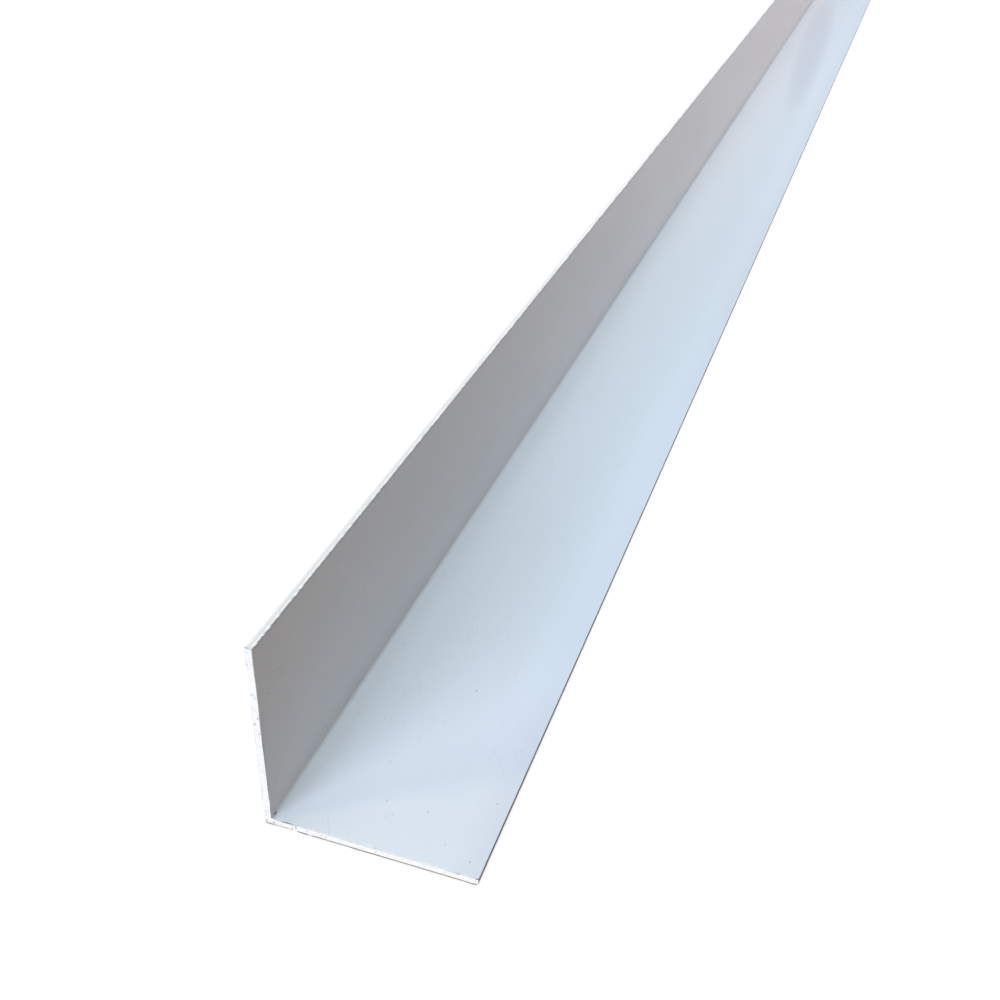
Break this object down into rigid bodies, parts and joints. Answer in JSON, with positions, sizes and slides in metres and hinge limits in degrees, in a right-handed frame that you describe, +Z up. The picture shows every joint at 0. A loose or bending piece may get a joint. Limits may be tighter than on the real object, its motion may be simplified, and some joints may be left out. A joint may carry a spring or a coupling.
{
  "type": "drywall corner bead",
  "caption": "Plain equal-leg angle of extruded white rigid PVC that wraps and protects an outside wallboard corner, sawn square at both ends, lying on one leg.",
  "frame": {"origin": "under the middle of the box, on the surface that the flat leg lies on", "axes": "+Y along the length, away from the near sawn end; +Z up along the upright leg; +X from the upright leg towards the free edge of the flat leg"},
  "size_m": [0.025, 2.4, 0.025],
  "materials": {
    "white_pvc": "satin"
  },
  "bodies": {
    "root": {"corner_bead": "white_pvc"}
  },
  "joints": []
}
